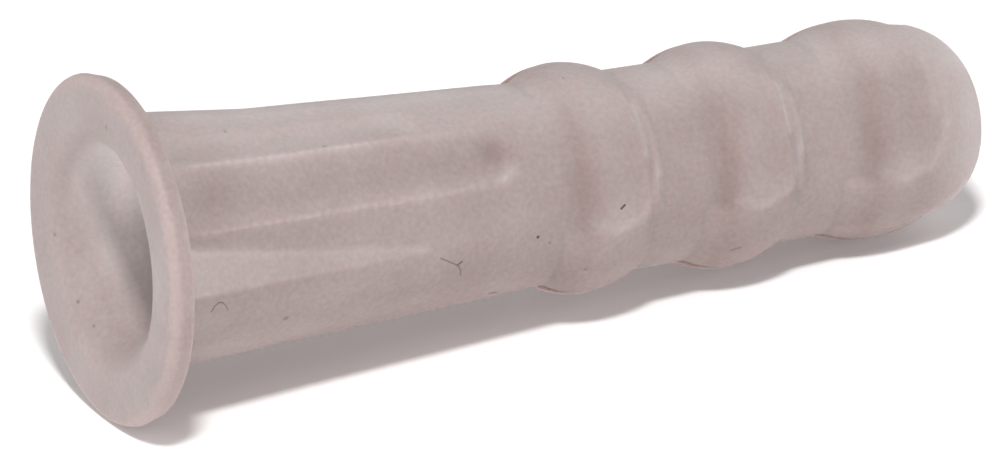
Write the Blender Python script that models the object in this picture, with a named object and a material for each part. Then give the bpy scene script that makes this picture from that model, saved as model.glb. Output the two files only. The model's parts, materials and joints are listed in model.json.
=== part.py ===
"""Collared plastic wall anchor (screw plug), 25.4 mm long, for a 6.35 mm hole.

In life the plug is one moulding.  Its collar and fluted neck stay still in the
wall, and a lengthwise slot splits the rest into two legs that bend outwards on
the thin plastic at the end of the neck when a screw goes in.  It is modelled as
the three regions that move against each other: the collar with its neck, and
the two expansion legs, which are copies of one shape.

Frame: the origin is on the plug's axis at the underside of the collar, in the
plane of the wall's face.  +Y runs along the axis into the wall and +Z is up.
In the functions below, a station is a distance along the axis from the
collar's front face, and an angle is counted round the axis from the middle of
the front leg, towards +Z.
"""

import math

import bmesh
import bpy
from mathutils import Vector

MM = 0.001

# Driving dimensions, in millimetres.
PLUG_LENGTH = 25.4
COLLAR_RADIUS = 4.72
COLLAR_THICKNESS = 0.70
COLLAR_BACK_RADIUS = 4.60
RIM_ROUND = 0.20
MOUTH_RADIUS = 3.62
MOUTH_DEPTH = 4.7
BORE_RADIUS_NECK = 1.60
BORE_RADIUS_TIP = 0.55
NECK_RADIUS_COLLAR = 3.36
NECK_RADIUS_END = 2.76

# The neck and the legs meet at the foot of the first ring.
HINGE_STATION = 12.2
SPLIT_GAP = 0.30
SLOT_WIDTH = 0.50
LEAN_DEG = 23.5

# Shallow flutes on both faces of the neck: start angle, end angle, depth, end station.
FLUTE_BANK = (
    (-30.0, -1.0, 0.15, 10.9),
    (-1.0, 32.8, 0.17, 10.9),
    (32.8, 51.0, 0.09, 8.6),
)
FLUTE_RUN_OUT = 0.9
# The plain sides stand proud of the fluted faces near the collar, on sloping walls.
LOW_WALL_ANGLE = -30.0
LOW_WALL_SPREAD = 21.0
LOW_WALL_SPREAD_END = 1.5
LOW_WALL_HEIGHT = 0.36
LOW_WALL_END = 8.4
HIGH_WALL_ANGLE = 50.0
HIGH_WALL_SPREAD = 18.0
HIGH_WALL_HEIGHT = 0.24
HIGH_WALL_END = 7.2

# Rings on the legs: crest station, half width before it, half width after it, height.
CORE_RADIUS_START = 2.76
CORE_RADIUS_END = 2.64
RINGS = (
    (13.60, 1.30, 1.38, 0.38),
    (17.90, 1.38, 1.38, 0.37),
    (22.30, 1.60, 1.50, 0.34),
)
# On the face of each leg a ring is a low tooth with a steep front and a stepped back.
TOOTH_HEIGHT = 0.25
TOOTH_FRONT = (-1.25, -0.35)
TOOTH_BACK = (1.00, 1.68)
FACE_LOW = (-36.0, -28.0)
FACE_HIGH = (31.0, 58.0)
TOOTH_FADE = 0.25
NOSE_START = 23.80
NOSE_SHOULDER = 24.35
NOSE_SHOULDER_RADIUS = 2.30
NOSE_RADIUS = 2.02
NOSE_TIP_RADIUS = 1.60
NOSE_STEP = 0.02
NOSE_ROW_SHARES = (0.4, 0.7, 0.9, 1.0)

# Mesh density.
SLEEVE_SIDES = 72
LEG_ARC_POINTS = 27
RING_ROWS = 6
MOUTH_ROWS = 10
ROUND_STEPS = 3
SHARP_EDGE_DEG = 28.0
WALL_ROWS = 8
FLUTE_END_STATIONS = (7.6, 8.0, 8.4, 8.6, 9.3, 10.0, 10.3, 10.55, 10.75, 10.9)

PLASTIC_COLOUR = (0.50, 0.43, 0.425, 1.0)
PLASTIC_ROUGHNESS = 0.55


def clear_scene():
    for old in list(bpy.data.objects):
        bpy.data.objects.remove(old, do_unlink=True)


def plastic(name):
    material = bpy.data.materials.new(name)
    material.use_nodes = True
    shader = material.node_tree.nodes["Principled BSDF"]
    shader.inputs["Base Color"].default_value = PLASTIC_COLOUR
    shader.inputs["Roughness"].default_value = PLASTIC_ROUGHNESS
    shader.inputs["Metallic"].default_value = 0.0
    return material


def mix(a, b, share):
    return a + (b - a) * share


def ramp(value, low, high):
    return min(1.0, max(0.0, (value - low) / (high - low)))


def smooth(value, low, high):
    share = ramp(value, low, high)
    return share * share * (3.0 - 2.0 * share)


def polar(radius, angle_deg, station):
    """A point of the plug in its own unturned frame, in metres."""
    angle = math.radians(angle_deg)
    x = radius * math.cos(angle)
    z = radius * math.sin(angle)
    return Vector((x, station - COLLAR_THICKNESS, z)) * MM


def face_angle(angle_deg):
    """The angle from the middle of the nearer of the two like faces, -90 to 90."""
    return (angle_deg + 90.0) % 180.0 - 90.0


# ---------------------------------------------------------------- neck surface


def neck_envelope(station):
    share = (station - COLLAR_THICKNESS) / (HINGE_STATION - COLLAR_THICKNESS)
    return mix(NECK_RADIUS_COLLAR, NECK_RADIUS_END, share)


def flute_depth(angle, station):
    """Depth of the flute at this place; each flute runs out at its end."""
    for start, end, depth, end_station in FLUTE_BANK:
        if start <= angle <= end:
            across = (2.0 * angle - start - end) / (end - start)
            past = max(0.0, station - end_station + FLUTE_RUN_OUT) / FLUTE_RUN_OUT
            return depth * (1.0 - across * across) * max(0.0, 1.0 - past * past)
    return 0.0


def face_drop(angle, station):
    """How far the fluted face lies below the plain sides."""
    low = 1.0 - ramp(station, COLLAR_THICKNESS, LOW_WALL_END)
    high = 1.0 - ramp(station, COLLAR_THICKNESS, HIGH_WALL_END)
    low_top = LOW_WALL_ANGLE + LOW_WALL_SPREAD * low + LOW_WALL_SPREAD_END
    low_drop = LOW_WALL_HEIGHT * low * ramp(angle, LOW_WALL_ANGLE, low_top)
    high_top = HIGH_WALL_ANGLE + HIGH_WALL_SPREAD
    high_drop = HIGH_WALL_HEIGHT * high * (1.0 - ramp(angle, HIGH_WALL_ANGLE, high_top))
    share = ramp(angle, LOW_WALL_ANGLE + LOW_WALL_SPREAD, HIGH_WALL_ANGLE)
    return mix(low_drop, high_drop, share)


def neck_radius(angle_deg, station):
    angle = face_angle(angle_deg)
    return neck_envelope(station) - flute_depth(angle, station) - face_drop(angle, station)


def bore_radius(station):
    """The trumpet mouth, a straight bore, then a slow taper to the tip."""
    share = ramp(station, HINGE_STATION, PLUG_LENGTH)
    straight = mix(BORE_RADIUS_NECK, BORE_RADIUS_TIP, share)
    depth = ramp(station, 0.0, MOUTH_DEPTH)
    flare = 1.0 - math.sqrt(depth * (2.0 - depth))
    return straight + (MOUTH_RADIUS - BORE_RADIUS_NECK) * flare


# ----------------------------------------------------------------- leg surface


def side_ring_height(station):
    """Height of the rounded rings over the core."""
    for crest, before, after, height in RINGS:
        half = before if station < crest else after
        across = abs(station - crest)
        if across < half:
            arc = (half * half + height * height) / (2.0 * height)
            return math.sqrt(arc * arc - across * across) - (arc - height)
    return 0.0


def tooth_height(station):
    """Height of the low teeth on the faces over the core."""
    best = 0.0
    for crest, _before, _after, _height in RINGS:
        along = station - crest
        best = max(best, smooth(along, *TOOTH_FRONT) * (1.0 - smooth(along, *TOOTH_BACK)))
    return TOOTH_HEIGHT * best


def leg_radius(station, angle):
    if station > NOSE_START:
        return nose_radius(station)
    share = ramp(station, HINGE_STATION, NOSE_START)
    on_face = smooth(angle, *FACE_LOW) * (1.0 - smooth(angle, *FACE_HIGH))
    rise = mix(side_ring_height(station), tooth_height(station), on_face)
    fade = smooth(station, NOSE_START - TOOTH_FADE, NOSE_START)
    rise = mix(rise, side_ring_height(station), fade)
    return mix(CORE_RADIUS_START, CORE_RADIUS_END, share) + rise


def nose_radius(station):
    """Past the last ring: a short cone, a small step, then a rounded end."""
    if station <= NOSE_SHOULDER:
        share = (station - NOSE_START) / (NOSE_SHOULDER - NOSE_START)
        return mix(CORE_RADIUS_END, NOSE_SHOULDER_RADIUS, share)
    share = (station - NOSE_SHOULDER) / (PLUG_LENGTH - NOSE_SHOULDER)
    return mix(NOSE_TIP_RADIUS, NOSE_RADIUS, math.sqrt(max(0.0, 1.0 - share * share)))


def leg_stations():
    """Stations of the leg's cross sections, from the hinge to the tip."""
    stations = [HINGE_STATION + SPLIT_GAP / 2.0]
    for crest, before, after, _height in RINGS:
        for step in range(-RING_ROWS, RING_ROWS + 1):
            half = before if step < 0 else after
            stations.append(crest + half * step / RING_ROWS)
    stations += [NOSE_SHOULDER, NOSE_SHOULDER + NOSE_STEP]
    for share in NOSE_ROW_SHARES:
        stations.append(mix(NOSE_SHOULDER, PLUG_LENGTH, share))
    return sorted(s for s in stations if s >= stations[0])


# ---------------------------------------------------------------- mesh making


def join_rows(name, rows, close_rows):
    """A closed solid from rows of points: every row is a ring, and the rows
    close on each other, or stop in flat ends made of strips of quads."""
    mesh = bmesh.new()
    rings = [[mesh.verts.new(point) for point in row] for row in rows]
    count = len(rings[0])
    pairs = list(zip(rings, rings[1:]))
    if close_rows:
        pairs.append((rings[-1], rings[0]))
    for ring, following in pairs:
        for i in range(count):
            j = (i + 1) % count
            mesh.faces.new((ring[i], ring[j], following[j], following[i]))
    if not close_rows:
        for ring in (rings[0], rings[-1]):
            for i in range(count // 2 - 1):
                mesh.faces.new((ring[i], ring[i + 1], ring[count - 2 - i], ring[count - 1 - i]))
    bmesh.ops.recalc_face_normals(mesh, faces=mesh.faces)
    data = bpy.data.meshes.new(name)
    mesh.to_mesh(data)
    mesh.free()
    data.shade_smooth()
    data.set_sharp_from_angle(angle=math.radians(SHARP_EDGE_DEG))
    return data


def add_piece(name, data, place, turn_deg):
    piece = bpy.data.objects.new(name, data)
    piece.location = place
    piece.rotation_euler = (0.0, -math.radians(turn_deg), 0.0)
    bpy.context.scene.collection.objects.link(piece)
    return piece


def full_ring(station, radius_at):
    step = 360.0 / SLEEVE_SIDES
    return [polar(radius_at(k * step), k * step, station) for k in range(SLEEVE_SIDES)]


def round_ring(station, radius):
    return full_ring(station, lambda _angle: radius)


def quarter(count):
    """Turns of a quarter circle, without its start."""
    return [math.pi / 2.0 * k / count for k in range(1, count + 1)]


def collar_rows():
    """From the edge of the flat front face over the rounded rim to the underside."""
    outer = COLLAR_RADIUS - RIM_ROUND
    rows = [round_ring(0.0, MOUTH_RADIUS), round_ring(0.0, outer)]
    for turn in quarter(ROUND_STEPS):
        station = RIM_ROUND * (1.0 - math.cos(turn))
        rows.append(round_ring(station, outer + RIM_ROUND * math.sin(turn)))
    rows.append(round_ring(COLLAR_THICKNESS, COLLAR_BACK_RADIUS))
    return rows


def neck_rows():
    """Closer together where the walls and the flutes run out."""
    end = HINGE_STATION - SPLIT_GAP / 2.0
    wall = range(WALL_ROWS + 1)
    stations = [mix(COLLAR_THICKNESS, HIGH_WALL_END, k / WALL_ROWS) for k in wall]
    stations += [*FLUTE_END_STATIONS, end]
    return [full_ring(s, lambda angle, s=s: neck_radius(angle, s)) for s in stations]


def bore_rows():
    """Back along the bore from the neck's end, and out over the trumpet mouth."""
    rows = [round_ring(HINGE_STATION - SPLIT_GAP / 2.0, BORE_RADIUS_NECK)]
    for turn in [0.0] + quarter(MOUTH_ROWS)[:-1]:
        station = MOUTH_DEPTH * (1.0 - math.sin(turn))
        rows.append(round_ring(station, bore_radius(station)))
    return rows


def leg_ring(station):
    """One cross section of a leg: its outer arc one way, its bore arc back."""
    half_slot = SLOT_WIDTH / 2.0
    outer_limit = 90.0 - math.degrees(math.asin(half_slot / leg_radius(station, 90.0)))
    inner_limit = 90.0 - math.degrees(math.asin(half_slot / bore_radius(station)))
    outer = []
    inner = []
    for k in range(LEG_ARC_POINTS):
        share = 2.0 * k / (LEG_ARC_POINTS - 1) - 1.0
        angle = share * outer_limit
        outer.append(polar(leg_radius(station, angle), angle, station))
        inner.append(polar(bore_radius(station), share * inner_limit, station))
    return outer + inner[::-1]


def hinge_radius():
    """Middle of the wall where a leg joins the neck."""
    return (NECK_RADIUS_END + BORE_RADIUS_NECK) / 2.0


# ---------------------------------------------------------------------- pieces


def build_collar_and_neck():
    rows = collar_rows() + neck_rows() + bore_rows()
    data = join_rows("collar_and_neck", rows, close_rows=True)
    piece = add_piece("collar_and_neck", data, (0.0, 0.0, 0.0), LEAN_DEG)
    piece.data.materials.append(plastic("collar_plastic"))


def build_leg(name, turn_deg):
    """A leg has its origin on its own hinge line, and is turned into place."""
    hinge = polar(hinge_radius(), 0.0, HINGE_STATION)
    rows = [[point - hinge for point in leg_ring(s)] for s in leg_stations()]
    data = join_rows(name, rows, close_rows=False)
    turn = math.radians(turn_deg)
    place = Vector((hinge.x * math.cos(turn), hinge.y, hinge.x * math.sin(turn)))
    piece = add_piece(name, data, place, turn_deg)
    piece.data.materials.append(plastic(name + "_plastic"))


def main():
    clear_scene()
    build_collar_and_neck()
    build_leg("expansion_leg_front", LEAN_DEG)
    build_leg("expansion_leg_back", LEAN_DEG + 180.0)


main()
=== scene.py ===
"""Looks for the collared wall anchor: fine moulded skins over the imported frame.

Lengths in this script are in millimetres until a mesh is made.  A station is
the distance along the plug's axis from the collar's front face, and an angle is
counted round the axis from the middle of the front leg, towards +Z.
"""

import json
import math

import bmesh
import bpy
import numpy as np
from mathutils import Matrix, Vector


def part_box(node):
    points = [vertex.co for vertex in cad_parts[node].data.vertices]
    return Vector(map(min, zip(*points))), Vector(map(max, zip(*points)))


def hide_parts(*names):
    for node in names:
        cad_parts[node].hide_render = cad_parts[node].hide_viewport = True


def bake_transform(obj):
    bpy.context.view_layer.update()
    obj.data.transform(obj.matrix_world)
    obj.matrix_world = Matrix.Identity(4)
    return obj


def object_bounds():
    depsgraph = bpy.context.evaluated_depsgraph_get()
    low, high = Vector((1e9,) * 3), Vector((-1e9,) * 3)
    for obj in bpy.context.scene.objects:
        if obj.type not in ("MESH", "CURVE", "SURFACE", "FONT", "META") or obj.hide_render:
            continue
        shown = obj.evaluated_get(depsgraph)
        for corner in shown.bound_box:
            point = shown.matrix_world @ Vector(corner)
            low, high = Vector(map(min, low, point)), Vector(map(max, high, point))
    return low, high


MM = 0.001

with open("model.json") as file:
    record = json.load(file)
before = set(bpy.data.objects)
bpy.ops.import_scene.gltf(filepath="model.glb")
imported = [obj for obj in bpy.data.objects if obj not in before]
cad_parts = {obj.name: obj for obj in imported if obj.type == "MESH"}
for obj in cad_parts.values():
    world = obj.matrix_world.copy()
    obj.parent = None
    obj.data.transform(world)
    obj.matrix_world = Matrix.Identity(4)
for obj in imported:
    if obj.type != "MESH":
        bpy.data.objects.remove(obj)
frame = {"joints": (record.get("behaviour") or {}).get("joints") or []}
cad_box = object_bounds()

# ------------------------------------------------------------ from the frame

JOINTS = {joint["name"]: joint for joint in frame["joints"]}
HINGE = JOINTS["front_leg_spread"]
HINGE_Y = HINGE["pos_m"][1] / MM
LEAN = math.atan2(HINGE["axis"][0], -HINGE["axis"][2])
FRONT_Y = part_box("collar_and_neck")[0].y / MM
TIP_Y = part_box("expansion_leg_front")[1].y / MM
COLLAR_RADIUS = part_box("collar_and_neck")[1].z / MM
FLOOR_Z = cad_box[0].z / MM
COLLAR_BACK = -FRONT_Y
HINGE_STATION = HINGE_Y - FRONT_Y
LENGTH = TIP_Y - FRONT_Y

# --------------------------------------------------------------- proportions

COLLAR_BACK_INSET = 0.10
RIM_ROUND = 0.26
BACK_ROUND = 0.12
# The collar sits slightly askew on the neck: rise per millimetre of X.
SKEW_X = 0.016
SKEW_END = 3.2
MOUTH_RADIUS = 3.62
MOUTH_DEPTH = 4.7
BORE_NECK = 1.60
BORE_TIP = 0.55

NECK_RADIUS_COLLAR = 3.36
NECK_RADIUS_END = 2.76
FLARE = 0.16
FLARE_BASE = 0.7
FLARE_LIFT = 0.7
FLARE_END = 4.6
UNDERSIDE_FILLET = 0.22

# The tip end is bowed up a little.
BOW = 0.085
BOW_START = 16.5
BOW_END = 22.0

SLOT_WIDTH = 0.50
FRONT_COLUMNS = 129
BACK_COLUMNS = 127
ROW_STEP = 0.085
BURIED_START = 11.75

# Flutes: low edge, high edge, depth, end.  The lowest one is bounded by the wall.
FLUTES = (
    (-29.0, -1.0, 0.13, 10.9),
    (-1.0, 32.8, 0.15, 10.9),
    (32.8, 51.0, 0.08, 8.6),
)
FLUTE_RUN_OUT = 0.9
HOLLOW_POWER = 1.4
RUN_OUT_POWER = 1.2
WEDGE_OVERLAP = 1.0
LOW_WALL_ANGLE = -30.0
LOW_WALL_SPREAD = 21.0
LOW_WALL_HEIGHT = 0.36
LOW_WALL_EDGE = 1.5
LOW_WALL_END = 8.4
HIGH_WALL_ANGLE = 50.0
HIGH_WALL_SPREAD = 18.0
HIGH_WALL_HEIGHT = 0.24
HIGH_WALL_END = 7.2
BEAD_PITCH = 0.29
BEAD_HEIGHT = 0.010
EDGE_HEIGHT = 0.004
EDGE_WIDTH = 0.075
WAVE_HEIGHT = 0.008
NECK_SEED = 3
LEG_SEED = 5
# Lines of (station, angle) on the neck, read from the photo.
HIGH_EDGE = ((1.6, 32.2), (6.1, 33.2), (10.3, 32.6))
LOW_EDGE = ((1.2, -2.4), (4.2, -0.9), (6.7, -0.5), (9.0, 0.1), (10.7, 3.3))
WEDGE_TOP = ((1.3, -9.0), (8.2, -27.5))

CORE_START = 2.76
CORE_END = 2.64
# Rings: crest station, half width before it and after it, height.
RINGS = (
    (13.60, 1.30, 1.38, 0.38),
    (17.90, 1.38, 1.38, 0.37),
    (22.30, 1.60, 1.50, 0.34),
)
# On the faces each ring is a low tooth: a steep front, a level top, two small
# steps behind, and a curved lower edge.
TOOTH_HEIGHT = 0.25
TOOTH_FRONT = (-1.25, -0.35)
TOOTH_STEPS = (1.22, 1.52)
TOOTH_EDGE = ((-0.55, -28.5), (0.15, -33.0), (0.90, -28.5), (1.32, -16.0), (1.45, -6.0))
BAND_LOW = (-36.0, -28.0)
BAND_HIGH = (31.0, 58.0)
NOSE_START = 23.80
SHOULDER = 24.35
SHOULDER_RADIUS = 2.30
NOSE_RADIUS = 2.02
NOSE_TIP_RADIUS = 1.60
DOME_START = 22.45
DOME_RADIUS = 3.01
# The nose is stepped beside the slot and plain on the face, with a blend between.
BESIDE_SLOT = (62.0, 80.0)
TOOTH_EDGE_HEIGHT = 0.010
TOOTH_EDGE_WIDTH = 0.14

MEAN_RADIUS = 2.95


def smooth(value, low, high):
    """0 below low, 1 above high, and a smooth ramp between them."""
    share = np.clip((value - low) / (high - low), 0.0, 1.0)
    return share * share * (3.0 - 2.0 * share)


def ramp(value, low, high):
    return np.clip((value - low) / (high - low), 0.0, 1.0)


def bump(value, centre, width):
    return np.exp(-(((value - centre) / width) ** 2))


def stroke(station, angle, points, width):
    """1 along a line through points (station, angle), fading across width."""
    scale = math.radians(1.0) * MEAN_RADIUS
    best = np.full(np.broadcast(station, angle).shape, 1e9)
    for (s0, a0), (s1, a1) in zip(points, points[1:]):
        along = (s1 - s0, (a1 - a0) * scale)
        length = along[0] ** 2 + along[1] ** 2
        share = ((station - s0) * along[0] + (angle - a0) * scale * along[1]) / length
        share = np.clip(share, 0.0, 1.0)
        gap_s = station - s0 - share * along[0]
        gap_a = (angle - a0) * scale - share * along[1]
        best = np.minimum(best, gap_s * gap_s + gap_a * gap_a)
    return np.exp(-best / (width * width))


def waves(station, angle, seed):
    """A gentle unevenness of the moulded skin, from -1 to 1."""
    rng = np.random.default_rng(seed)
    total = np.zeros(np.broadcast(station, angle).shape)
    for _ in range(7):
        along = rng.uniform(0.4, 2.4)
        around = rng.integers(1, 7)
        phase = rng.uniform(0.0, 2.0 * math.pi)
        total = total + np.sin(along * station + around * np.radians(angle) + phase)
    return total / 7.0


def face_angle(angle):
    """Both faces of the plug are alike, half a turn apart."""
    return (angle + 90.0) % 180.0 - 90.0


# ---------------------------------------------------------------- the neck


def neck_sector_radius(station, angle):
    share = (station - COLLAR_BACK) / (HINGE_STATION - COLLAR_BACK)
    radius = NECK_RADIUS_COLLAR + (NECK_RADIUS_END - NECK_RADIUS_COLLAR) * share
    flare = FLARE * (FLARE_BASE + FLARE_LIFT * np.sin(np.radians(angle) + LEAN))
    return radius + flare * (1.0 - ramp(station, COLLAR_BACK, FLARE_END))


def beads(station):
    """The broken, beaded look of the flutes' edges."""
    return 0.5 + 0.5 * np.sin(2.0 * math.pi * station / BEAD_PITCH + 2.0 * np.sin(station))


def wedge_top(station):
    """The upper edge of the low wall, which narrows to a point."""
    stations, angles = zip(*WEDGE_TOP)
    return np.interp(station, stations, angles)


def neck_radius(station, angle):
    """Smooth sides that stand proud near the collar, with a fluted band between
    them on each face."""
    across = face_angle(angle)
    low_share = 1.0 - ramp(station, COLLAR_BACK, LOW_WALL_END)
    low_top = LOW_WALL_ANGLE + LOW_WALL_SPREAD * low_share + LOW_WALL_EDGE
    low_wall = LOW_WALL_HEIGHT * low_share * ramp(across, LOW_WALL_ANGLE, low_top)
    high_share = 1.0 - ramp(station, COLLAR_BACK, HIGH_WALL_END)
    high_top = HIGH_WALL_ANGLE + HIGH_WALL_SPREAD
    high_fade = 1.0 - ramp(across, HIGH_WALL_ANGLE, high_top)
    high_wall = HIGH_WALL_HEIGHT * high_share * high_fade
    in_band = ramp(across, LOW_WALL_ANGLE + LOW_WALL_SPREAD, HIGH_WALL_ANGLE)
    radius = neck_sector_radius(station, angle) - low_wall * (1.0 - in_band)
    radius = radius - high_wall * in_band
    for number, (low, high, depth, end) in enumerate(FLUTES):
        bound = low
        if number == 0:
            bound = np.maximum(low, wedge_top(station) - WEDGE_OVERLAP)
        depth = depth * (high - bound) / (high - low)
        spot = (2.0 * across - bound - high) / (high - bound)
        past = ramp(station, end - FLUTE_RUN_OUT, end)
        hollow = np.clip(1.0 - spot * spot, 0.0, 1.0) ** HOLLOW_POWER
        radius = radius - depth * hollow * (1.0 - past * past) ** RUN_OUT_POWER
    for edge in (HIGH_EDGE, LOW_EDGE):
        ridge = stroke(station, across, edge, EDGE_WIDTH)
        radius = radius + ridge * (EDGE_HEIGHT + BEAD_HEIGHT * beads(station))
    fillet = np.clip(1.0 - (station - COLLAR_BACK) / UNDERSIDE_FILLET, 0.0, 1.0)
    radius = radius + UNDERSIDE_FILLET * (1.0 - np.sqrt(1.0 - fillet * fillet))
    return radius + WAVE_HEIGHT * waves(station, angle, NECK_SEED)


def bore_radius(station):
    taper = ramp(station, HINGE_STATION, LENGTH)
    straight = BORE_NECK + (BORE_TIP - BORE_NECK) * taper
    share = ramp(station, 0.0, MOUTH_DEPTH)
    trumpet = 1.0 - np.sqrt(share * (2.0 - share))
    return straight + (MOUTH_RADIUS - BORE_NECK) * trumpet


# ---------------------------------------------------------------- the legs


def side_ring_height(station):
    """Rounded rings of the smooth sides."""
    total = np.zeros_like(station)
    for crest, before, after, height in RINGS:
        half = np.where(station < crest, before, after)
        arc = (half * half + height * height) / (2.0 * height)
        across = np.minimum(np.abs(station - crest), half)
        total = total + np.sqrt(arc * arc - across * across) - (arc - height)
    return total


def tooth_height(station, angle):
    """The low teeth of the face bands."""
    total = np.zeros(np.broadcast(station, angle).shape)
    for crest, _before, _after, _height in RINGS:
        place_on = station - crest
        rise = smooth(place_on, *TOOTH_FRONT)
        first = smooth(place_on, TOOTH_STEPS[0] - 0.22, TOOTH_STEPS[0] + 0.10)
        second = smooth(place_on, TOOTH_STEPS[1] - 0.16, TOOTH_STEPS[1] + 0.16)
        tooth = TOOTH_HEIGHT * rise * (1.0 - 0.55 * first - 0.45 * second)
        total = np.maximum(total, tooth)
    return total


def nose_radius(station, angle):
    cone = CORE_END + (SHOULDER_RADIUS - CORE_END) * ramp(station, NOSE_START, SHOULDER)
    share = ramp(station, SHOULDER, LENGTH)
    dome = NOSE_TIP_RADIUS + (NOSE_RADIUS - NOSE_TIP_RADIUS) * np.sqrt(1.0 - share * share)
    stepped = np.where(station <= SHOULDER, cone, dome)
    share = ramp(station, DOME_START, LENGTH)
    plain = NOSE_TIP_RADIUS + (DOME_RADIUS - NOSE_TIP_RADIUS) * (1.0 - share ** 2.3) ** 0.75
    by_slot = smooth(np.abs(angle), *BESIDE_SLOT)
    return stepped * by_slot + plain * (1.0 - by_slot)


def leg_radius(station, angle):
    station, angle = np.broadcast_arrays(station, angle)
    core = CORE_START + (CORE_END - CORE_START) * ramp(station, HINGE_STATION, NOSE_START)
    in_band = smooth(angle, *BAND_LOW) * (1.0 - smooth(angle, *BAND_HIGH))
    sides = side_ring_height(station)
    radius = core + sides + (tooth_height(station, angle) - sides) * in_band
    for crest, _before, _after, _height in RINGS:
        edge = [(crest + along, around) for along, around in TOOTH_EDGE]
        ridge = stroke(station, angle, edge, TOOTH_EDGE_WIDTH)
        radius = radius + TOOTH_EDGE_HEIGHT * ridge
    into_nose = smooth(station, DOME_START, NOSE_START + 0.1)
    nose = nose_radius(station, angle)
    by_slot = smooth(np.abs(angle), *BESIDE_SLOT)
    sharp = np.where(station > NOSE_START, 1.0, 0.0)
    share = into_nose * (1.0 - by_slot) + sharp * by_slot
    radius = radius * (1.0 - share) + nose * share
    return radius + WAVE_HEIGHT * waves(station, angle, LEG_SEED)


# ------------------------------------------------------------------- the tint


# Steps of tone: above 0 the plastic is painted paler, below 0 darker.  Most of the
# tints are painted light and shade: they follow direction and place, and were tuned
# for this scene's lights.
BODY_TONE = -0.38
UPPER_PAINTED_LIGHT = 0.56
LOWER_PAINTED_SHADE = -0.22
COLLAR_TONE = 0.03
RIM_TONE = -0.22
MOUTH_TONE = -0.26
MOUTH_SHADED_WALL_PAINTED_LIGHT = 1.15
MOUTH_LIT_WALL_PAINTED_SHADE = -0.3
MOUTH_DEPTH_PAINTED_LIGHT = 1.3
SLOT_PAINTED_SHADE = -0.2
NOSE_PAINTED_LIGHT = 0.95
NOSE_PAINTED_LIGHT_START = 22.8
TOOTH_FRONT_PAINTED_SHADE = -0.50
TOOTH_EDGE_HIGHLIGHT = 0.30
TOOTH_STEP_HIGHLIGHTS = (0.62, 0.36)
LEDGE_PAINTED_LIGHT = 0.26
STEP_LINE_WIDTH = 0.10


def upwards(angle):
    """1 on the upper line of the collar, neck and front leg, -1 on the lower one.
    The back leg is the same shape turned half round, so there it is reversed."""
    return np.sin(np.radians(angle) + LEAN)


def body_tone(angle):
    """Darker all round, with painted light along the top, where upwards() is near 1, and
    painted shade underneath.
    """
    upper = UPPER_PAINTED_LIGHT * smooth(upwards(angle), 0.62, 1.0)
    return BODY_TONE + upper + LOWER_PAINTED_SHADE * smooth(-upwards(angle), 0.1, 0.8)


def collar_tone(station, radius, angle):
    """The lip and rim, and the mouth.  The mouth's upper wall faces down, into the
    shade, and its lower wall faces the light.  Painted light lifts the upper wall
    and the depth of the mouth, and painted shade darkens its lower wall."""
    if radius >= MOUTH_RADIUS:
        return COLLAR_TONE + RIM_TONE * smooth(station, 0.05, 0.3)
    above = upwards(angle)
    shaded = smooth(above, -0.3, 0.7) * smooth(station, 0.1, 0.6)
    lit = smooth(-above, 0.3, 1.0) * smooth(station, 0.3, 0.9)
    deep = smooth(station - 0.5 * smooth(-above, 0.3, 0.9), 0.5, 1.7)
    tone = MOUTH_TONE + MOUTH_SHADED_WALL_PAINTED_LIGHT * shaded
    tone = tone + MOUTH_LIT_WALL_PAINTED_SHADE * lit + MOUTH_DEPTH_PAINTED_LIGHT * deep
    return smooth(station, 0.02, 0.35) * tone + COLLAR_TONE


def neck_tone(station, angle):
    """How pale (above 0) or dark (below 0) the neck is painted: the body's painted light
    and shade, paler next to the collar, and painted light and shade on the flutes.
    """
    across = face_angle(angle)
    tone = body_tone(angle) + 0.25 * (1.0 - smooth(station, COLLAR_BACK, 1.4))
    on = smooth(station, 1.2, 2.4)
    run = on * (1.0 - 0.75 * smooth(station, 6.5, 8.0))
    # Painted highlights along the beaded edges of the flutes and at the end of the low edge's
    # rib.
    tone = tone + 0.32 * stroke(station, across, HIGH_EDGE, 0.085) * run * (0.25 + beads(station))
    tone = tone + 0.19 * stroke(station, across, LOW_EDGE, 0.10) * on * (0.4 + beads(station))
    tone = tone + 0.48 * stroke(station, across, ((10.55, 1.5), (10.9, 6.5)), 0.17)
    # Painted light on the low wall's wedge, which faces up, with a painted highlight along its
    # top.
    top = wedge_top(station)
    lit_wedge = (1.0 - smooth(across, top - 1.5, top + 1.0)) * smooth(across, -31.5, -29.0)
    fade = 1.0 - 0.6 * smooth(station, 1.0, 8.3)
    tone = tone + 0.52 * lit_wedge * fade * (1.0 - smooth(station, 7.9, 8.4))
    tone = tone + 0.2 * stroke(station, across, WEDGE_TOP, 0.10)
    # Painted shade at the rounded end of the middle flute and along that flute, and in the top
    # flute below.
    tone = tone - 0.62 * bump(station, 10.50, 0.42) * bump(across, 18.5, 9.0)
    flute = smooth(across, 3.0, 10.0) * (1.0 - smooth(across, 27.0, 32.0))
    tone = tone - 0.16 * flute * on * (1.0 - smooth(station, 9.5, 10.9))
    shade = smooth(across, 35.0, 38.0) * (1.0 - smooth(across, 43.0, 50.0))
    tone = tone - 0.16 * shade * (1.0 - smooth(station, 2.0, 6.5))
    # A painted highlight high on each face, and painted light low on each face next to the
    # collar.
    tone = tone + 0.30 * smooth(across, 54.0, 66.0) * (1.0 - smooth(across, 72.0, 84.0)) * on
    under = (1.0 - smooth(across, -46.0, -31.0)) * smooth(across, -90.0, -70.0)
    return tone + 0.34 * under * (1.0 - smooth(station, 2.0, 8.0))


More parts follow.
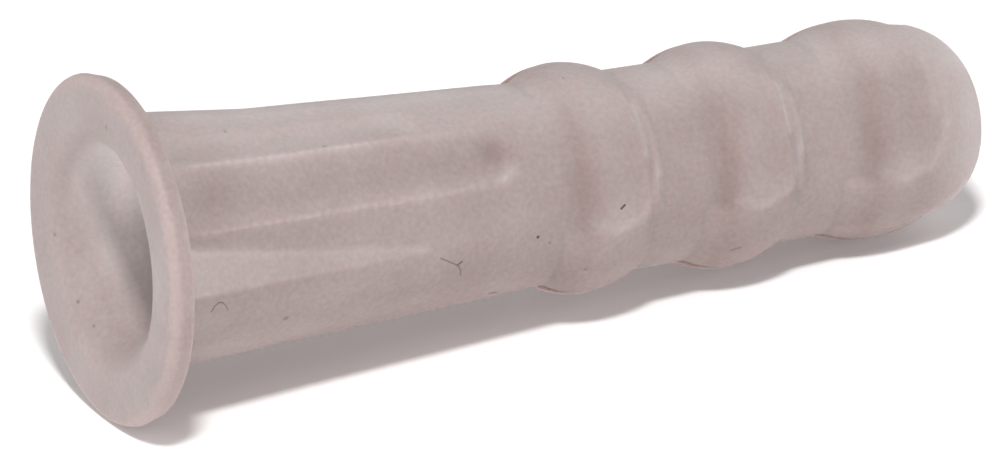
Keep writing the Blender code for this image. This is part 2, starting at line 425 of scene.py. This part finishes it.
def leg_tone(station, angle):
    # Painted light on the nose, on top of the body's painted light and shade.
    tone = body_tone(angle) + NOSE_PAINTED_LIGHT * smooth(station, NOSE_PAINTED_LIGHT_START, LENGTH - 0.3)
    in_band = smooth(angle, -40.0, -30.0) * (1.0 - smooth(angle, 20.0, 52.0))
    for number, (crest, _before, _after, _height) in enumerate(RINGS):
        along = station - crest
        # Painted shade on each tooth's front slope, painted highlights along its curved lower
        # edge and its two steps, and painted light on the ledge below it.
        slope = bump(along, (TOOTH_FRONT[0] + TOOTH_FRONT[1]) / 2.0 + 0.05, 0.40)
        tone = tone + TOOTH_FRONT_PAINTED_SHADE * slope * (0.45 + 0.55 * in_band)
        edge = [(crest + step, around) for step, around in TOOTH_EDGE]
        tone = tone + TOOTH_EDGE_HIGHLIGHT * stroke(station, angle, edge, 0.15)
        weight = (1.0, 1.1, 0.35)[number]
        first = ((crest + TOOTH_STEPS[0], 32.0), (crest + TOOTH_STEPS[0] - 0.03, 4.0))
        second = ((crest + TOOTH_STEPS[1], 25.0), (crest + TOOTH_STEPS[1], -8.0))
        for line, strength in zip((first, second), TOOTH_STEP_HIGHLIGHTS):
            tone = tone + strength * weight * stroke(station, angle, line, STEP_LINE_WIDTH)
        tone = tone + LEDGE_PAINTED_LIGHT * bump(along, 0.25, 0.55) * bump(angle, -25.0, 7.0)
    return tone


# ------------------------------------------------------------- mesh making


def place(radius, angle, station, turn=LEAN):
    """Points in the row frame, in metres."""
    around = np.radians(angle) + turn
    x = radius * np.cos(around)
    z = radius * np.sin(around)
    askew = 1.0 - smooth(station, COLLAR_BACK, SKEW_END)
    y = station + FRONT_Y + SKEW_X * x * askew
    z = z + BOW * smooth(station, BOW_START, BOW_END)
    return np.stack([x, y, z], -1) * MM


class Shell:
    """Vertices, faces and the tint of one closed skin."""

    def __init__(self):
        self.points = []
        self.tones = []
        self.faces = []
        self.count = 0

    def add(self, points, tones):
        first = self.count
        self.points.append(points)
        self.tones.append(np.zeros(len(points)) + tones)
        self.count += len(points)
        return np.arange(first, self.count)

    def join(self, one, other):
        """Faces between two rows of vertices of the same length."""
        quads = np.stack([one[:-1], one[1:], other[1:], other[:-1]], -1)
        self.faces.extend(quads.tolist())

    def finish(self, name):
        mesh = bpy.data.meshes.new(name)
        mesh.from_pydata(np.concatenate(self.points).tolist(), [], self.faces)
        work = bmesh.new()
        work.from_mesh(mesh)
        bmesh.ops.recalc_face_normals(work, faces=work.faces)
        work.to_mesh(mesh)
        work.free()
        tone = mesh.attributes.new("tone", "FLOAT", "POINT")
        tone.data.foreach_set("value", np.concatenate(self.tones).astype(np.float32))
        mesh.shade_smooth()
        mesh.set_sharp_from_angle(angle=math.radians(38.0))
        piece = bpy.data.objects.new(name, mesh)
        bpy.context.scene.collection.objects.link(piece)
        return piece


def quarter(count):
    """Turns of a quarter circle, without its start."""
    return [math.pi / 2.0 * k / count for k in range(1, count + 1)]


def loop(row):
    return np.concatenate([row, row[:1]])


def slot_edge(radius):
    """The angle at which the slot's face meets a circle of this radius."""
    return 90.0 - math.degrees(math.asin(SLOT_WIDTH / 2.0 / radius))


def round_angles(radius):
    """Columns of a full ring: the front leg's arc, then the rest."""
    edge = slot_edge(radius)
    front = np.linspace(-edge, edge, FRONT_COLUMNS)
    rest = np.linspace(edge, 360.0 - edge, BACK_COLUMNS + 2)[1:-1]
    return np.concatenate([front, rest])


def collar_rows():
    """(station, radius) of the mouth, the lip, the rim and the underside."""
    deep = np.linspace(HINGE_STATION, MOUTH_DEPTH + 0.2, 12)
    flare = MOUTH_DEPTH * (1.0 - np.cos(np.linspace(math.pi / 2.0, 0.0, 44)))
    inner = np.concatenate([deep, flare])
    rows = [(s, float(bore_radius(np.array(s)))) for s in inner]
    outer = COLLAR_RADIUS - RIM_ROUND
    rows += [(0.0, MOUTH_RADIUS + (outer - MOUTH_RADIUS) * k / 8.0) for k in range(1, 9)]
    for turn in quarter(7):
        rows.append((RIM_ROUND * (1.0 - math.cos(turn)), outer + RIM_ROUND * math.sin(turn)))
    for share in (0.4, 0.8):
        station = RIM_ROUND + (COLLAR_BACK - RIM_ROUND - BACK_ROUND) * share
        rows.append((station, COLLAR_RADIUS - COLLAR_BACK_INSET * share))
    for turn in [0.0] + quarter(5):
        station = COLLAR_BACK - BACK_ROUND * (1.0 - math.sin(turn))
        inset = COLLAR_BACK_INSET + BACK_ROUND * (1.0 - math.cos(turn))
        rows.append((station, COLLAR_RADIUS - inset))
    rows += [(COLLAR_BACK, 4.3), (COLLAR_BACK, 3.95)]
    return rows


def leg_stations():
    body = np.arange(HINGE_STATION + ROW_STEP, SHOULDER - 0.03, ROW_STEP)
    nose = SHOULDER + (LENGTH - SHOULDER) * np.sin(np.linspace(0.04, math.pi / 2.0, 22))
    return np.concatenate([body, [SHOULDER - 0.01, SHOULDER], nose])


def leg_row(shell, station, turn, sink):
    """One ring of a leg: its outer arc and its inner arc, both from the low slot
    face to the high one.  A sink buries the ring in the wall of the neck."""
    edge = slot_edge(float(leg_radius(np.array(station), np.array(90.0))))
    inner_edge = slot_edge(float(bore_radius(np.array(station))))
    angles = np.linspace(-edge, edge, FRONT_COLUMNS)
    radius = leg_radius(station, angles) - sink
    outer = shell.add(place(radius, angles, station, turn), leg_tone(station, angles))
    angles = np.linspace(-inner_edge, inner_edge, FRONT_COLUMNS)
    radius = bore_radius(station) + sink + 0.0 * angles
    # The bore of each leg, and with it the slot faces, is painted darker: painted shade in the
    # hollow.
    inner = shell.add(place(radius, angles, station, turn), SLOT_PAINTED_SHADE)
    return outer, inner


def join_leg_rows(shell, last, following):
    for one, other in zip(last, following):
        shell.join(one, other)
    for side in (0, -1):
        corner = [last[0][side], last[1][side], following[1][side], following[0][side]]
        shell.faces.append([int(number) for number in corner])


def build_front_skin():
    """The collar, the neck and the front leg in one skin."""
    shell = Shell()
    last = None
    for station, radius in collar_rows():
        angles = round_angles(max(radius, 1.0))
        tone = collar_tone(station, radius, angles)
        row = shell.add(place(radius + 0.0 * angles, angles, station), tone)
        if last is None:
            bore_end = row
        else:
            shell.join(loop(last), loop(row))
        last = row
    near = COLLAR_BACK + UNDERSIDE_FILLET * (1.0 - np.cos(np.linspace(0.15, 1.5, 6)))
    rest = np.arange(COLLAR_BACK + UNDERSIDE_FILLET + 0.05, HINGE_STATION - 0.03, ROW_STEP)
    angles = round_angles(NECK_RADIUS_END)
    for station in np.concatenate([near, rest, [HINGE_STATION]]):
        blend = smooth(station, HINGE_STATION - 0.5, HINGE_STATION)
        radius = neck_radius(station, angles) * (1.0 - blend)
        radius = radius + leg_radius(station, face_angle(angles)) * blend
        tone = neck_tone(station, angles) * (1.0 - blend)
        tone = tone + leg_tone(station, face_angle(angles)) * blend
        row = shell.add(place(radius, angles, station), tone)
        shell.join(loop(last), loop(row))
        last = row
    hidden = np.arange(FRONT_COLUMNS - 1, FRONT_COLUMNS + BACK_COLUMNS)
    shell.join(loop(last)[np.append(hidden, hidden[-1] + 1)],
               loop(bore_end)[np.append(hidden, hidden[-1] + 1)])
    rows = (last[:FRONT_COLUMNS], bore_end[:FRONT_COLUMNS])
    for station in leg_stations():
        following = leg_row(shell, station, LEAN, 0.0)
        join_leg_rows(shell, rows, following)
        rows = following
    shell.join(*rows)
    return shell.finish("collar_neck_front_leg_skin")


def build_back_skin():
    """The back leg, whose root is buried in the wall of the neck."""
    shell = Shell()
    rows = None
    buried = np.linspace(BURIED_START, HINGE_STATION + 0.02, 6)
    for station in np.concatenate([buried, leg_stations()]):
        sink = 0.030 * (1.0 - ramp(station, BURIED_START, HINGE_STATION - 0.05))
        following = leg_row(shell, station, LEAN + math.pi, sink)
        if rows is None:
            shell.join(*following)
        else:
            join_leg_rows(shell, rows, following)
        rows = following
    shell.join(*rows)
    return shell.finish("back_leg_skin")


# -------------------------------------------------------------- materials

# Dust, hairs and scratches: points of (station, angle), half width, how dark.
# These places weren't chosen by hand: another program worked them out from the
# photo.
MARKS = (
    (((11.49, -33.0),), 0.062, 0.95),
    (((11.88, -38.4),), 0.048, 0.45),
    (((13.84, -22.4), (13.94, -20.9)), 0.048, 0.85),
    (((10.55, -75.3), (10.76, -76.6)), 0.062, 0.70),
    (((8.58, -34.6), (8.90, -38.4), (9.14, -41.4)), 0.030, 0.50),
    (((9.14, -41.4), (9.24, -45.0), (9.28, -48.5)), 0.028, 0.45),
    (((9.10, -41.0), (9.24, -39.4)), 0.045, 0.60),
    (((1.76, -38.8), (1.84, -36.0), (1.98, -34.5), (2.10, -35.2)), 0.030, 0.55),
    (((2.10, -35.2), (2.20, -37.2), (2.27, -39.8)), 0.026, 0.40),
    (((4.15, -53.6),), 0.110, 0.36),
    (((5.82, 35.3),), 0.080, 0.26),
    (((3.33, 53.1),), 0.080, 0.26),
    (((13.00, -57.0),), 0.070, 0.32),
    (((17.44, -61.8), (17.66, -60.0)), 0.070, 0.34),
    (((22.90, 79.0),), 0.080, 0.60),
    (((13.21, 75.5), (13.29, 55.5)), 0.028, 0.42),
)
# Marks on the lip and in the mouth: radius, angle, size, how dark.
LIP_MARKS = (
    (3.70, 57.5, 0.080, 0.42),
    (4.72, 4.0, 0.050, 0.40),
)
MOUTH_MARKS = (
    (3.20, 166.5, 0.075, 0.30),
    (2.95, -157.5, 0.080, 0.38),
    (2.85, -139.5, 0.070, 0.34),
)


def skin_point(station, angle):
    shape = neck_radius if station < HINGE_STATION else leg_radius
    return place(float(shape(np.array(station), np.array(angle))), np.array(angle), station)


def mark_strokes():
    """(start, end, half width in metres, how dark) of every mark."""
    found = []
    for points, size, dark in MARKS:
        ends = [skin_point(*point) for point in points]
        for start, end in zip(ends, ends[1:] or ends):
            found.append((start, end, size * MM, dark))
    for radius, angle, size, dark in LIP_MARKS:
        point = place(radius, np.array(angle), 0.02)
        found.append((point, point, size * MM, dark))
    for radius, angle, size, dark in MOUTH_MARKS:
        depth = next(s for s in np.linspace(0.0, MOUTH_DEPTH, 400) if bore_radius(s) < radius)
        point = place(radius, np.array(angle), depth)
        found.append((point, point, size * MM, dark))
    return found


MARK_COLOUR = (0.035, 0.027, 0.032, 1.0)
# The plastic's colour, from the darkest level of tone to the palest one.  The levels
# carry painted light and shade as well as random cloudiness.
TINTS = (
    (0.310, 0.234, 0.220, 1.0),
    (0.450, 0.383, 0.373, 1.0),
    (0.610, 0.552, 0.543, 1.0),
    (0.860, 0.800, 0.790, 1.0),
)
TINT_STEP = 1.0 / 3.0
CLOUD_SCALE = 420.0
CLOUD_DEPTH = 0.9
GRAIN_SCALE = 7000.0
GRAIN_DEPTH = 0.75
RELIEF_STRENGTH = 0.30
RELIEF_HEIGHT = 0.02
SCATTER_RADIUS = (1.0, 0.55, 0.50)
SCATTER_SCALE = 0.8


def milky_plastic(name):
    material = bpy.data.materials.new(name)
    material.use_nodes = True
    nodes = material.node_tree.nodes
    links = material.node_tree.links
    shader = nodes["Principled BSDF"]
    shader.inputs["Roughness"].default_value = 0.55
    shader.inputs["IOR"].default_value = 1.5
    shader.inputs["Specular IOR Level"].default_value = 0.30
    shader.inputs["Subsurface Weight"].default_value = 0.9
    shader.inputs["Subsurface Radius"].default_value = SCATTER_RADIUS
    shader.inputs["Subsurface Scale"].default_value = SCATTER_SCALE * MM

    def maths(operation, first, second):
        node = nodes.new("ShaderNodeMath")
        node.operation = operation
        for socket, value in zip(node.inputs, (first, second)):
            if isinstance(value, (int, float)):
                socket.default_value = value
            else:
                links.new(value, socket)
        return node.outputs["Value"]

    where = nodes.new("ShaderNodeTexCoord")

    def noise(scale, detail):
        node = nodes.new("ShaderNodeTexNoise")
        node.inputs["Scale"].default_value = scale
        node.inputs["Detail"].default_value = detail
        links.new(where.outputs["Object"], node.inputs["Vector"])
        return maths("SUBTRACT", node.outputs["Fac"], 0.5)

    tone = nodes.new("ShaderNodeAttribute")
    tone.attribute_name = "tone"
    cloud = maths("MULTIPLY", noise(CLOUD_SCALE, 4.0), CLOUD_DEPTH)
    grain = noise(GRAIN_SCALE, 3.0)
    level = maths("ADD", tone.outputs["Fac"], cloud)
    level = maths("ADD", level, maths("MULTIPLY", grain, GRAIN_DEPTH))
    level = maths("ADD", maths("MULTIPLY", level, TINT_STEP), TINT_STEP)
    tint = nodes.new("ShaderNodeValToRGB")
    ramp_steps = tint.color_ramp.elements
    ramp_steps[0].position = 0.0
    ramp_steps[0].color = TINTS[0]
    ramp_steps[1].position = 1.0
    ramp_steps[1].color = TINTS[3]
    ramp_steps.new(TINT_STEP).color = TINTS[1]
    ramp_steps.new(2.0 * TINT_STEP).color = TINTS[2]
    links.new(level, tint.inputs["Fac"])

    def vector(operation, first, second, scale=None):
        node = nodes.new("ShaderNodeVectorMath")
        node.operation = operation
        for socket, value in zip(node.inputs, (first, second)):
            if isinstance(value, tuple):
                socket.default_value = value
            elif value is not None:
                links.new(value, socket)
        if scale is not None:
            links.new(scale, node.inputs["Scale"])
        return node

    def stroke_mask(start, end, size, depth):
        """depth along the line from start to end, fading over its half width."""
        away = vector("SUBTRACT", where.outputs["Object"], tuple(map(float, start)))
        away = away.outputs["Vector"]
        reach = end - start
        length = float(reach @ reach)
        if length > 0.0:
            along = vector("DOT_PRODUCT", away, tuple(map(float, reach / length)))
            held = nodes.new("ShaderNodeClamp")
            links.new(along.outputs["Value"], held.inputs["Value"])
            step = vector("SCALE", tuple(map(float, reach)), None, held.outputs["Result"])
            away = vector("SUBTRACT", away, step.outputs["Vector"]).outputs["Vector"]
        fade = nodes.new("ShaderNodeMapRange")
        fade.inputs["From Min"].default_value = size
        fade.inputs["From Max"].default_value = 0.4 * size
        fade.inputs["To Min"].default_value = 0.0
        fade.inputs["To Max"].default_value = depth
        links.new(vector("LENGTH", away, None).outputs["Value"], fade.inputs["Value"])
        return fade.outputs["Result"]

    dark = None
    for start, end, size, depth in mark_strokes():
        spot = stroke_mask(start, end, size, depth)
        dark = spot if dark is None else maths("MAXIMUM", dark, spot)
    mix = nodes.new("ShaderNodeMix")
    mix.data_type = "RGBA"
    links.new(dark, mix.inputs[0])
    links.new(tint.outputs["Color"], mix.inputs[6])
    mix.inputs[7].default_value = MARK_COLOUR
    links.new(mix.outputs[2], shader.inputs["Base Color"])

    relief = nodes.new("ShaderNodeBump")
    relief.inputs["Strength"].default_value = RELIEF_STRENGTH
    relief.inputs["Distance"].default_value = RELIEF_HEIGHT * MM
    links.new(grain, relief.inputs["Height"])
    links.new(relief.outputs["Normal"], shader.inputs["Normal"])
    return material


FLOOR_COLOUR = (0.97, 0.97, 0.97, 1.0)
# The floor gives off a little light, which lifts the plug's shadow.
FLOOR_GLOW = (1.0, 0.90, 0.89, 1.0)
FLOOR_GLOW_STRENGTH = 0.14


def pale_floor_material():
    material = bpy.data.materials.new("pale_floor")
    material.use_nodes = True
    shader = material.node_tree.nodes["Principled BSDF"]
    shader.inputs["Base Color"].default_value = FLOOR_COLOUR
    shader.inputs["Roughness"].default_value = 1.0
    shader.inputs["Specular IOR Level"].default_value = 0.0
    shader.inputs["Emission Color"].default_value = FLOOR_GLOW
    shader.inputs["Emission Strength"].default_value = FLOOR_GLOW_STRENGTH
    return material


# ------------------------------------------------------------ floor, lights, camera

CAMERA_AZIMUTH = 64.7
CAMERA_ELEVATION = 19.8
CAMERA_LENS = 360.0
CAMERA_DISTANCE = 268.4
TARGET_Y = 11.91
TARGET_RIGHT = -0.843
TARGET_UP = -1.135

LIGHT_DISTANCE = 700.0
KEY_SIZE = 96.0
FILL_SIZE = 540.0
SIDE_SIZE = 950.0
KEY_STRENGTH = 0.76
FILL_STRENGTH = 0.19
SIDE_STRENGTH = 0.17
WORLD_STRENGTH = 0.24
FLOOR_HALF = 3000.0
FLOOR_GAP = 0.02


def view_axes(azimuth, elevation):
    """Directions towards the camera, to its right and up, for a view."""
    a = math.radians(azimuth)
    e = math.radians(elevation)
    back = Vector((math.sin(a) * math.cos(e), -math.cos(a) * math.cos(e), math.sin(e)))
    right = Vector((math.cos(a), math.sin(a), 0.0))
    return back, right, back.cross(right)


def add_camera():
    back, right, up = view_axes(CAMERA_AZIMUTH, CAMERA_ELEVATION)
    target = Vector((0.0, TARGET_Y, 0.0)) + right * TARGET_RIGHT + up * TARGET_UP
    data = bpy.data.cameras.new("camera")
    data.lens = CAMERA_LENS
    data.clip_start = 0.01
    data.clip_end = 5.0
    camera = bpy.data.objects.new("camera", data)
    camera.location = (target + back * CAMERA_DISTANCE) * MM
    camera.rotation_euler = back.to_track_quat("Z", "Y").to_euler()
    bpy.context.scene.collection.objects.link(camera)
    bpy.context.scene.camera = camera


def add_area_light(name, direction, size, strength):
    """A round light.  A strength of 1 lights a facing surface as a white world does."""
    data = bpy.data.lights.new(name, "AREA")
    data.shape = "DISK"
    data.size = size * MM
    data.energy = strength * (math.pi * LIGHT_DISTANCE * MM) ** 2
    light = bpy.data.objects.new(name, data)
    centre = Vector((0.0, LENGTH / 2.0, 0.0))
    towards = Vector(direction).normalized()
    light.location = (centre + towards * LIGHT_DISTANCE) * MM
    light.rotation_euler = towards.to_track_quat("Z", "Y").to_euler()
    bpy.context.scene.collection.objects.link(light)


def add_lights():
    back, right, _up = view_axes(CAMERA_AZIMUTH, 0.0)
    sky = Vector((0.0, 0.0, 1.0))
    from_key = sky + back * 0.68 - right * 0.02
    from_fill = sky * 0.35 - right * 0.9 + back * 0.8
    from_side = sky * 0.7 + right * 1.0
    add_area_light("key", from_key, KEY_SIZE, KEY_STRENGTH)
    add_area_light("fill", from_fill, FILL_SIZE, FILL_STRENGTH)
    add_area_light("side", from_side, SIDE_SIZE, SIDE_STRENGTH)
    world = bpy.data.worlds.new("studio")
    world.use_nodes = True
    background = world.node_tree.nodes["Background"]
    background.inputs["Color"].default_value = (1.0, 1.0, 1.0, 1.0)
    background.inputs["Strength"].default_value = WORLD_STRENGTH
    bpy.context.scene.world = world


def add_floor():
    """A large pale table top, on which the collar and the last ring rest."""
    crest, _before, _after, height = RINGS[-1]
    share = (crest - HINGE_STATION) / (NOSE_START - HINGE_STATION)
    core = CORE_START + (CORE_END - CORE_START) * share
    rise = (-core - height - FLOOR_Z) / crest
    half = FLOOR_HALF
    mesh = bpy.data.meshes.new("floor")
    corners = []
    for x, y in ((-half, -half), (half, -half), (half, half), (-half, half)):
        corners.append((x * MM, y * MM, (FLOOR_Z - FLOOR_GAP + rise * (y - FRONT_Y)) * MM))
    mesh.from_pydata(corners, [], [(0, 1, 2, 3)])
    floor = bpy.data.objects.new("floor", mesh)
    floor.data.materials.append(pale_floor_material())
    bpy.context.scene.collection.objects.link(floor)


# ------------------------------------------------------------------ assembly

plastic = milky_plastic("milky_plastic")

front_skin = build_front_skin()
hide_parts("collar_and_neck", "expansion_leg_front")
back_skin = build_back_skin()
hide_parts("expansion_leg_back")
for skin, body in ((front_skin, "front_leg"), (back_skin, "back_leg")):
    skin.data.materials.append(plastic)
    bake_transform(skin)

add_floor()
add_lights()
add_camera()
bpy.context.scene.view_settings.view_transform = "Standard"
